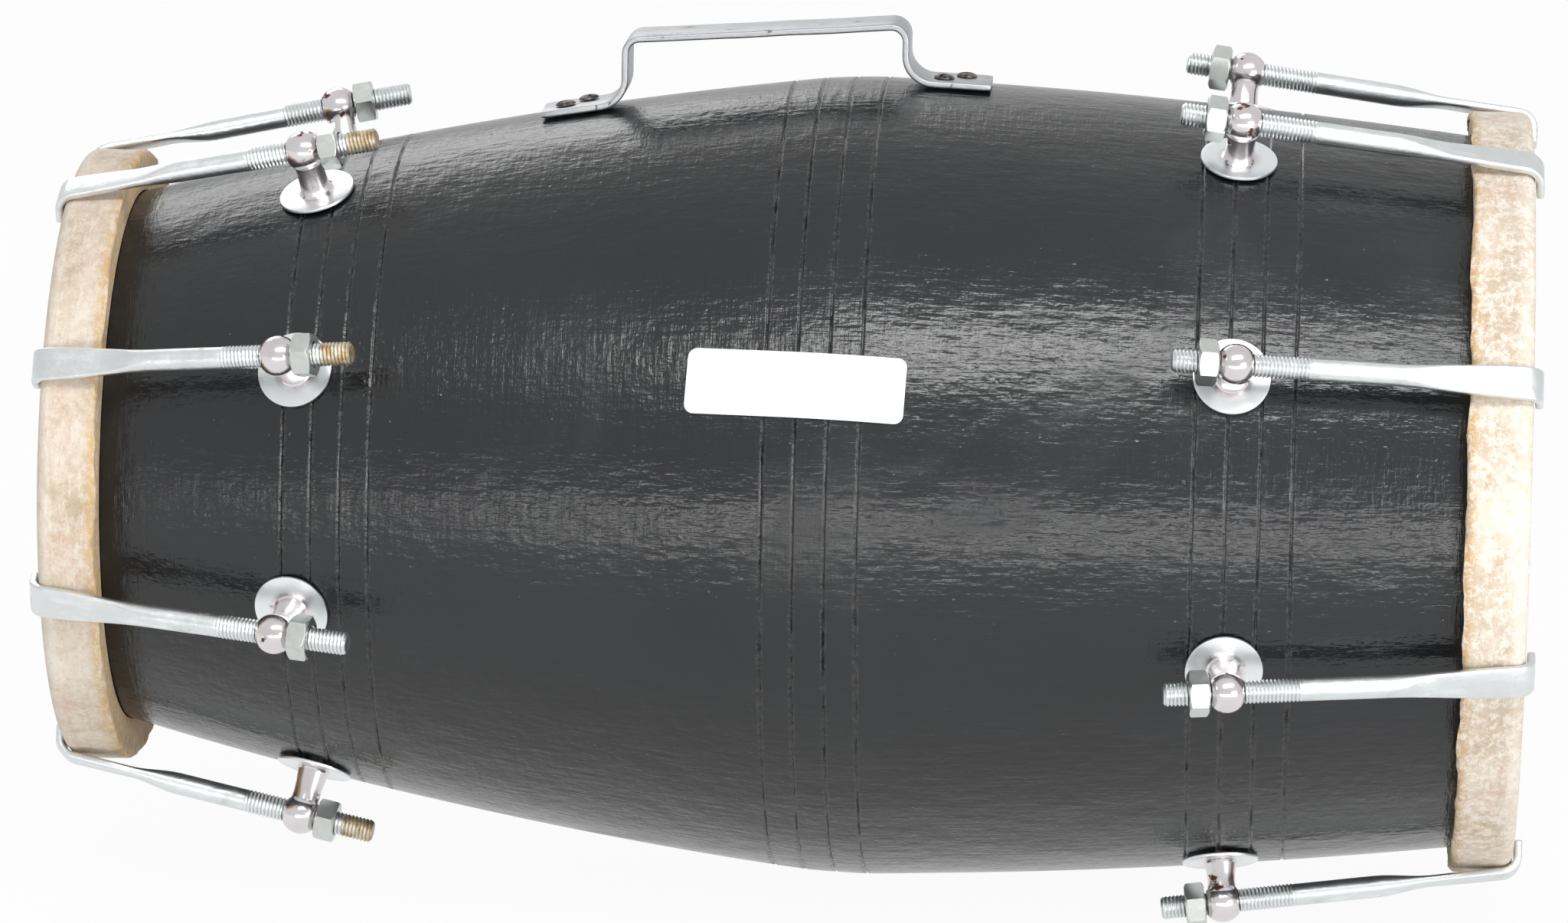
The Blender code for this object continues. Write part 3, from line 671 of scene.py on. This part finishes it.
def hookMesh(endName, tarnished):
    end = ends[endName]
    start = -(nutPlace()[1] + end["threadPastNut"])
    bend, turn, radius = hookBend(endName)
    flat = bend - end["flatLength"]
    threadEnd = start + end["threadLength"]
    step = hook["pitch"] / hook["ringsPerTurn"]
    rings = []
    marks = []
    count = 4 * hook["perCorner"]
    middle = (hook["threadOuter"] + hook["threadInner"]) / 2
    height = (hook["threadOuter"] - hook["threadInner"]) / 2
    for i in range(round((threadEnd - start) / step) + 1):
        x = start + i * step
        limit = hook["threadInner"] - hook["chamfer"] * 0.6 + (x - start) * 1.1
        fade = min(1.0, (threadEnd - x) / (2 * hook["pitch"]))
        ring = []
        for j in range(count):
            angle = math.radians(90 * (j + 0.5) / hook["perCorner"])
            phase = (x / hook["pitch"] - angle / math.tau) % 1.0
            tooth = 1.0 - 4.0 * abs(phase - 0.5)
            r = middle + height * max(-0.8, min(0.75, tooth * 1.15))
            r = hook["shank"] + (r - hook["shank"]) * fade
            r = min(r, limit)
            ring.append(Vector((x, r * math.cos(angle), r * math.sin(angle))))
            marks.append(max(0.0, -tooth) * fade)
        rings.append(ring)
    threadRings = len(rings)

    def addSection(x, z, heading, points):
        out = Vector((math.sin(heading), 0, math.cos(heading)))
        rings.append([Vector((x, y, z)) + up * out for y, up in points])
        marks.extend([0.0] * count)

    rod = 2 * hook["shank"]
    for share in (0.15, 0.5, 0.85, 1.0):
        x = threadEnd + (flat - threadEnd) * share
        if x > threadEnd:
            addSection(x, 0.0, 0.0, section(rod, rod, rod / 2))
    flatSteps = 14
    for i in range(1, flatSteps + 1):
        share = i / flatSteps
        ease = share * share * (3 - 2 * share)
        press = min(1.0, share / 0.45)
        press = press * press * (3 - 2 * press)
        width = rod + (hook["width"] - rod) * ease
        thickness = rod + (hook["thickness"] - rod) * press
        corner = rod / 2 + (hook["edge"] - rod / 2) * press
        points = section(width, thickness, min(corner, thickness / 2, width / 2))
        addSection(flat + end["flatLength"] * share, 0.0, 0.0, points)
    strap = section(hook["width"], hook["thickness"], hook["edge"])
    bendSteps = 10
    for i in range(1, bendSteps + 1):
        angle = turn * i / bendSteps
        x = bend + radius * math.sin(angle)
        z = radius * math.cos(angle) - radius
        addSection(x, z, angle, strap)
    lip = hook["lipDrop"] - rim["corner"]
    for share, size in ((0.5, 1.0), (0.86, 1.0), (0.97, 0.9), (1.0, 0.72)):
        points = section(hook["width"] * size, hook["thickness"] * size, hook["edge"] * size)
        drop = lip * share
        addSection(x + drop * math.cos(turn), z - drop * math.sin(turn), turn, points)
    name = f"{endName}_hook_shape" + ("_tarnished" if tarnished else "")
    mesh = ringMesh(name, rings, capFirst=True, capLast=True)
    setMarks(mesh, "root", marks)
    smooth(mesh, 38.0)
    mesh.materials.append(finishes["zinc"])
    if tarnished:
        mesh.materials.append(finishes["tarnish"])
        limit = start + end["threadPastNut"] * 0.8
        for face in mesh.polygons:
            if face.center.x < limit:
                face.material_index = 1
    print(name, "has", threadRings, "thread rings")
    return mesh


def nutMesh():
    # A hexagon with its corners rounded off at both faces
    near, far = nutPlace()
    apothem = nut["across"] / 2
    count = 6 * nut["perSide"]
    bevel = 0.0004

    def outer(angle):
        local = (angle + math.pi / 6) % (math.pi / 3) - math.pi / 6
        return apothem / math.cos(local)

    def ring(radiusOf, x):
        made = []
        for i in range(count):
            angle = math.tau * i / count
            r = radiusOf(angle)
            made.append(Vector((x(r), r * math.cos(angle), r * math.sin(angle))))
        return made

    def fall(r):
        return max(0.0, r - nut["round"]) * 0.55

    rings = [
        ring(lambda angle: nut["bore"], lambda r: -near - bevel),
        ring(lambda angle: nut["bore"] + bevel, lambda r: -near),
        ring(lambda angle: nut["round"], lambda r: -near),
        ring(lambda angle: outer(angle) * 0.985, lambda r: -near - fall(r)),
        ring(outer, lambda r: -near - fall(r) - 0.00012),
        ring(outer, lambda r: -far + fall(r) + 0.00012),
        ring(lambda angle: outer(angle) * 0.985, lambda r: -far + fall(r)),
        ring(lambda angle: nut["round"], lambda r: -far),
        ring(lambda angle: nut["bore"] + bevel, lambda r: -far),
        ring(lambda angle: nut["bore"], lambda r: -far + bevel),
    ]
    mesh = ringMesh("nut_shape", rings, closedAlong=True)
    smooth(mesh, 28.0)
    return mesh


def postMesh(endName):
    # Turned about the post's own line: ball, waisted neck, washer and shank, with the eye at the origin
    end = ends[endName]
    eye = hookFrame(endName, 1)
    tilt = shellSlope(end["side"] * end["postX"]) * end["side"]
    reachOut = math.hypot(eye.translation.y - axis.y, eye.translation.z - axis.z)
    height = (reachOut - shellRadius(end["side"] * end["postX"])) / math.cos(tilt)
    lean = math.acos(abs(eye.to_3x3().col[0].x)) - tilt
    rod = Vector((math.cos(lean), 0.0, -math.sin(lean)))
    under = clear - height
    top = under + post["washerThickness"]
    ball, neck, washer = post["ball"], post["neck"], post["washer"]
    neckAngle = math.pi - math.asin(neck / ball)
    outline = [(ball * math.sin(neckAngle * i / 18), ball * math.cos(neckAngle * i / 18)) for i in range(19)]
    bottom = outline[-1][1]
    outline += [(neck - 0.0002, bottom + (top - bottom) * 0.25), (neck, bottom + (top - bottom) * 0.55)]
    outline += [(post["foot"] - 0.0006, top + 0.0006), (post["foot"], top + 0.00005)]
    firstWasher = len(outline)
    outline += [(washer * 0.62, top - 0.00012), (washer - 0.0004, top), (washer - 0.0001, top - 0.0001)]
    outline += [(washer, top - 0.0004), (washer, under + 0.0003), (washer - 0.0003, under)]
    lastWasher = len(outline)
    outline += [(post["shank"], under), (post["shank"], under - post["inside"]), (0.0, under - post["inside"])]
    rings = []
    marks = []
    for number, (radius, z) in enumerate(outline):
        spots = [0.0] if radius < 1e-6 else [math.tau * i / post["around"] for i in range(post["around"])]
        ring = []
        for angle in spots:
            point = Vector((radius * math.cos(angle), radius * math.sin(angle), z))
            if number <= 18:
                past = abs(point.dot(rod)) - post["flats"] / 2
                if past > 0:
                    point -= rod * math.copysign(past, point.dot(rod))
            ring.append(point)
            marks.append(1.0 if firstWasher <= number < lastWasher else 0.0)
        rings.append(ring)
    mesh = ringMesh(f"{endName}_post_shape", rings)
    setMarks(mesh, "washer", marks)
    body = newObject(f"{endName}_post_turning", mesh, None)
    cutter = bmesh.new()
    bmesh.ops.create_cone(
        cutter, cap_ends=True, segments=40, radius1=post["eye"], radius2=post["eye"], depth=6 * ball
    )
    cutter.transform(Vector((0, 0, 1)).rotation_difference(rod).to_matrix().to_4x4())
    cutterMesh = bpy.data.meshes.new("eye_drill")
    cutter.to_mesh(cutterMesh)
    cutter.free()
    drill = newObject("eye_drill", cutterMesh, None)
    step = body.modifiers.new("Eye", "BOOLEAN")
    step.operation = "DIFFERENCE"
    step.object = drill
    clamp = bmesh.new()
    across = post["clampAcross"] / math.sqrt(3)
    bmesh.ops.create_cone(
        clamp, cap_ends=True, segments=6, radius1=across, radius2=across, depth=post["clampThickness"]
    )
    clamp.transform(Matrix.Translation((0, 0, under - post["inside"] + 0.0055)))
    clampMesh = bpy.data.meshes.new("clamp")
    clamp.to_mesh(clampMesh)
    clamp.free()
    clampObject = newObject("clamp", clampMesh, None)
    step = body.modifiers.new("Clamp", "BOOLEAN")
    step.operation = "UNION"
    step.object = clampObject
    bpy.context.view_layer.update()
    graph = bpy.context.evaluated_depsgraph_get()
    made = bpy.data.meshes.new_from_object(body.evaluated_get(graph))
    made.name = f"{endName}_post_shape"
    for helper in (body, drill, clampObject):
        bpy.data.objects.remove(helper)
    smooth(made, 34.0)
    made.materials.clear()
    made.materials.append(finishes["ball"])
    return made, tilt


def makeTuning(endName):
    tarnished = {"treble": (2, 3, 5), "bass": ()}[endName]
    hooks = {flag: hookMesh(endName, flag) for flag in (False, True)}
    turned, tilt = postMesh(endName)
    for number in range(1, 9):
        place = hookFrame(endName, number)
        rod = newObject(f"{endName}_bolt_{number}", hooks[number in tarnished], None, place)
        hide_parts(f"{endName}_hook_{number}")
        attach(rod, f"{endName}_hook_body_{number}")
        spin = Matrix.Rotation(math.radians(17.0 * number), 4, "X")
        hexNut = newObject(f"{endName}_hexnut_{number}", nutShape, finishes["nut"], place @ spin)
        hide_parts(f"{endName}_nut_{number}")
        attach(hexNut, f"{endName}_nut_body_{number}")
        lean = math.acos(abs(place.to_3x3().col[0].x)) - tilt
        upright = place @ Matrix.Rotation(-lean, 4, "Y")
        stud = newObject(f"{endName}_stud_{number}", turned, None, upright)
        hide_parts(f"{endName}_post_{number}")
        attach(stud, "drum")


def footLine(x, towards):
    # The middle of a foot, the way it runs and its upward normal
    middle = x + towards * handle["foot"] / 2
    slope = shellSlope(middle)
    direction = Vector((towards, 0, -abs(math.tan(slope)))).normalized()
    normal = Vector((-direction.z * towards, 0, direction.x * towards))
    rest = shellRadius(middle) + clear + handle["thickness"] / 2
    return Vector((middle, 0, rest)), direction, normal


def handleRoute():
    path = []
    for x, gripZ, towards in ((handle["trebleX"], handle["trebleZ"], -1), (handle["bassX"], handle["bassZ"], 1)):
        middle, direction, _ = footLine(x, towards)
        corner = middle + direction * ((x - middle.x) / direction.x)
        leg = [(corner + direction * handle["foot"], 0.0), (corner, handle["footBend"])]
        leg.append((Vector((x, 0, gripZ)), handle["gripBend"]))
        path += leg if towards < 0 else leg[::-1]
    points = [path[0][0]]
    for (before, _), (corner, radius), (after, _) in zip(path, path[1:], path[2:]):
        back = (before - corner).normalized()
        ahead = (after - corner).normalized()
        half = back.angle(ahead) / 2
        centre = corner + (back + ahead).normalized() * (radius / math.sin(half))
        first = corner + back * (radius / math.tan(half)) - centre
        last = corner + ahead * (radius / math.tan(half)) - centre
        sweep = first.angle(last)
        run = (centre + first) - points[-1]
        straight = max(1, round(run.length / 0.003))
        points += [points[-1] + run * (i / straight) for i in range(1, straight)]
        for i in range(9):
            arm = first * math.sin((1 - i / 8) * sweep) + last * math.sin(i / 8 * sweep)
            points.append(centre + arm / math.sin(sweep))
    run = path[-1][0] - points[-1]
    points += [points[-1] + run * (i / 8) for i in range(1, 9)]
    return points


def makeHandle(material):
    points = handleRoute()
    rings = []
    width, thickness, edge = handle["width"], handle["thickness"], handle["edge"]
    last = len(points) - 1
    for number, point in enumerate(points):
        ahead = points[min(last, number + 1)] - points[max(0, number - 1)]
        ahead.normalize()
        out = Vector((-ahead.z, 0, ahead.x))
        wave = handle["bow"] * (noise.noise(point * 45.0) + 0.4 * noise.noise(point * 140.0))
        size = 1.0 if 0 < number < last else 0.93
        ring = []
        for y, up in section(width * size, thickness * size, edge * size):
            spot = point + Vector((0, y, 0)) + out * up
            if 8 < number < last - 8:
                spot += out * wave * 0.35
            ring.append(spot)
        rings.append(ring)
    mesh = ringMesh("carry_handle", rings, capFirst=True, capLast=True)
    smooth(mesh, 40.0)
    made = newObject("carry_handle", mesh, material, Matrix.Translation(axis))
    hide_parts("handle_strap")
    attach(made, "drum")


def screwMesh():
    around = 40
    head, height = screw["head"], screw["height"]
    outline = [(head * math.sin(math.radians(a)), height * math.cos(math.radians(a))) for a in range(0, 91, 10)]
    outline += [(head * 0.98, 0.0), (screw["radius"], 0.0)]
    outline += [(screw["radius"], -screw["length"] * 0.8), (0.0, -screw["length"])]
    rings = []
    for radius, z in outline:
        if radius < 1e-6:
            rings.append([Vector((0, 0, z))])
            continue
        rings.append([Vector((radius * math.cos(math.tau * i / around), radius * math.sin(math.tau * i / around), z))
                      for i in range(around)])
    body = newObject("screw_turning", ringMesh("screw_turning", rings), None)
    cut = bmesh.new()
    bmesh.ops.create_cube(cut, size=1.0)
    size = Matrix.Diagonal((3 * head, screw["slot"], 2 * screw["slotDepth"], 1.0))
    cut.transform(Matrix.Translation((0, 0, height)) @ size)
    cutMesh = bpy.data.meshes.new("slot")
    cut.to_mesh(cutMesh)
    cut.free()
    slotCut = newObject("slot", cutMesh, None)
    step = body.modifiers.new("Slot", "BOOLEAN")
    step.operation = "DIFFERENCE"
    step.object = slotCut
    bpy.context.view_layer.update()
    graph = bpy.context.evaluated_depsgraph_get()
    made = bpy.data.meshes.new_from_object(body.evaluated_get(graph))
    made.name = "screw_shape"
    for helper in (body, slotCut):
        bpy.data.objects.remove(helper)
    smooth(made, 30.0)
    made.materials.clear()
    return made


def makeScrews(material):
    mesh = screwMesh()
    for number, turn in ((1, 35.0), (2, 110.0), (3, 62.0), (4, 12.0)):
        low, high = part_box(f"handle_screw_{number}")
        towards = -1 if number < 3 else 1
        x = handle["trebleX"] if towards < 0 else handle["bassX"]
        _, _, normal = footLine(x, towards)
        place = (low + high) / 2 + normal * (screw["length"] - screw["height"]) / 2
        turned = Vector((0, 0, 1)).rotation_difference(normal).to_matrix() @ Matrix.Rotation(math.radians(turn), 3, "Z")
        made = newObject(f"slotted_screw_{number}", mesh, material, Matrix.Translation(place) @ turned.to_4x4())
        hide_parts(f"handle_screw_{number}")
        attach(made, "drum")


def makePlate(material):
    halfLong, halfHigh, corner = plate["length"] / 2, plate["height"] / 2, plate["corner"]
    straight = halfLong - corner
    columns = []
    for side in (-1, 1):
        for degrees in range(90, -1, -10):
            angle = math.radians(degrees)
            columns.append((side * (straight + corner * math.sin(angle)), halfHigh - corner * (1 - math.cos(angle))))
    columns += [(straight * i / 20, halfHigh) for i in range(-19, 20)]
    columns.sort()
    tilt = math.radians(plate["tilt"])
    points = []
    rows = 13
    for along, height in columns:
        for i in range(rows):
            up = height * (2 * i / (rows - 1) - 1)
            x = plate["x"] + along * math.cos(tilt) + up * math.sin(tilt)
            rise = up * math.cos(tilt) - along * math.sin(tilt)
            radius = crestRadius(x) + clear
            points.append(roundX(radius, x, math.radians(plate["azimuth"]) - rise / radius))
    faces = []
    for i in range(len(columns) - 1):
        for j in range(rows - 1):
            a = i * rows + j
            faces.append((a, a + 1, a + rows + 1, a + rows))
    mesh = bpy.data.meshes.new("name_plate")
    mesh.from_pydata([tuple(point) for point in points], [], faces)
    mesh.shade_smooth()
    made = newObject("name_plate", mesh, material, Matrix.Translation(axis))
    thick = made.modifiers.new("Thickness", "SOLIDIFY")
    outward = mesh.polygons[len(faces) // 2].normal.dot(roundX(1.0, 0.0, math.radians(plate["azimuth"])))
    thick.thickness = plate["thickness"]
    thick.offset = 1.0 if outward > 0 else -1.0
    soft = made.modifiers.new("Edge", "BEVEL")
    soft.width = 0.00015
    soft.segments = 2
    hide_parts("label_plate")
    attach(made, "drum")


finishes = {
    "lacquer": lacquerFinish(),
    "trebleHide": hideFinish("treble rawhide", -1, ends["treble"]["innerX"], 0.30),
    "bassHide": hideFinish("bass rawhide", 1, ends["bass"]["innerX"], 0.65),
    "zinc": zincFinish(),
    "tarnish": brassedFinish(),
    "ball": ballFinish(),
    "nut": nutFinish(),
    "strip": stripFinish(),
    "screw": plainFinish("dark steel", shade(0.035, 0.03, 0.028), shade(0.20, 0.18, 0.17), 0.45, 0.9, 300.0, 0.0002),
    "plate": plainFinish("white plate", shade(0.80, 0.81, 0.82), shade(0.86, 0.87, 0.87), 0.28, 0.0, 40.0, 0.00002),
    "cane": plainFinish("cane", shade(0.33, 0.20, 0.09), shade(0.52, 0.36, 0.19), 0.65, 0.0, 120.0, 0.0004),
    "paste": plainFinish("tuning paste", shade(0.020, 0.016, 0.014), shade(0.06, 0.05, 0.042), 0.8, 0.0, 90.0, 0.0006),
}
print("finishes made:", len(finishes))

makeShell(finishes["lacquer"])
print("shell made")
makeHead("treble", finishes["trebleHide"])
makeHead("bass", finishes["bassHide"])
print("heads made")
nutShape = nutMesh()
makeTuning("treble")
makeTuning("bass")
print("tuning bolts made")
makeHandle(finishes["strip"])
makeScrews(finishes["screw"])
makePlate(finishes["plate"])
for nodeName, finishName in (("treble_hoop", "cane"), ("bass_hoop", "cane"), ("bass_paste", "paste")):
    data = frame["nodes"][nodeName].data
    data.materials.clear()
    data.materials.append(finishes[finishName])
print("handle, screws and plate made")

# Camera: the photograph's place, aim and long lens
view = {
    "place": (0.1618, -2.4812, 0.5203),  # from the middle of the drum's axis
    "yaw": -3.843,
    "down": 11.736,
    "roll": 0.829,
    "lens": 174.7,
}
yaw, down = math.radians(view["yaw"]), math.radians(view["down"])
aim = Vector((math.cos(down) * math.sin(yaw), math.cos(down) * math.cos(yaw), -math.sin(down)))
lensData = bpy.data.cameras.new("view")
lensData.lens = view["lens"]
lensData.sensor_width = 36.0
lensData.clip_end = 30.0
camera = bpy.data.objects.new("view", lensData)
bpy.context.scene.collection.objects.link(camera)
camera.rotation_mode = "QUATERNION"
camera.location = axis + Vector(view["place"])
camera.rotation_quaternion = aim.to_track_quat("-Z", "Y") @ Quaternion((0, 0, 1), math.radians(view["roll"]))
bpy.context.scene.camera = camera

# Studio: a pale floor, four soft lamps and a pale world
studio = {
    "floor": 9.0,
    "lamps": (
        # name, place, width, height, watts
        ("soft box above", (0.35, -1.15, 1.45), 1.6, 0.34, 17.0),
        ("low side fill", (1.5, -1.5, 0.30), 0.9, 0.6, 12.0),
        ("low front fill", (0.1, -1.6, 0.03), 2.0, 0.10, 7.0),
        ("back light", (-0.7, 1.5, 1.3), 1.2, 0.8, 6.0),
    ),
    "world": 0.50,
    "background": 1.0,
    "mirrored": 0.78,
}
floorMesh = bpy.data.meshes.new("floor")
reach = studio["floor"]
corners = [(-reach, -reach, 0), (reach, -reach, 0), (reach, reach, 0), (-reach, reach, 0)]
floorMesh.from_pydata(corners, [], [(0, 1, 2, 3)])
floor = newObject("floor", floorMesh, None)
floor.location.z = cadBox[0].z - clear
floorFinish = Finish("pale floor", roughness=0.9, Specular_IOR_Level=0.1)
floorFinish.set("Base Color", shade(0.86, 0.86, 0.86))
glow = floorFinish.node("ShaderNodeEmission", None, {"Color": shade(1.0, 1.0, 1.0), "Strength": 1.0})
seen = floorFinish.node("ShaderNodeLightPath", out="Is Camera Ray")
mirrored = floorFinish.node("ShaderNodeLightPath", out="Is Glossy Ray")
blendNode = floorFinish.node("ShaderNodeMixShader", None, {0: seen * 0.95 + mirrored * 0.9, 2: glow})
floorFinish.tree.links.new(floorFinish.shader.outputs[0], blendNode.socket.node.inputs[1])
surface = floorFinish.tree.nodes["Material Output"].inputs["Surface"]
floorFinish.tree.links.new(blendNode.socket, surface)
floorMesh.materials.append(floorFinish.material)
for name, place, width, height, watts in studio["lamps"]:
    lamp = bpy.data.lights.new(name, "AREA")
    lamp.shape = "RECTANGLE"
    lamp.size = width
    lamp.size_y = height
    lamp.energy = watts
    lampObject = bpy.data.objects.new(name, lamp)
    bpy.context.scene.collection.objects.link(lampObject)
    lampObject.location = Vector(place)
    lampObject.rotation_mode = "QUATERNION"
    lampObject.rotation_quaternion = (axis - Vector(place)).to_track_quat("-Z", "Y")
world = bpy.data.worlds.new("studio")
world.use_nodes = True
bpy.context.scene.world = world
tree = world.node_tree
sky = tree.nodes["Background"]
path = tree.nodes.new("ShaderNodeLightPath")
sky.inputs["Color"].default_value = shade(1.0, 1.0, 1.0)
level = studio["world"]
for ray, strength in (("Is Glossy Ray", studio["mirrored"]), ("Is Camera Ray", studio["background"])):
    choose = tree.nodes.new("ShaderNodeMapRange")
    choose.inputs["To Max"].default_value = strength
    tree.links.new(path.outputs[ray], choose.inputs["Value"])
    if isinstance(level, float):
        choose.inputs["To Min"].default_value = level
    else:
        tree.links.new(level, choose.inputs["To Min"])
    level = choose.outputs["Result"]
tree.links.new(level, sky.inputs["Strength"])
bpy.context.scene.view_settings.view_transform = "Standard"
print("studio made")
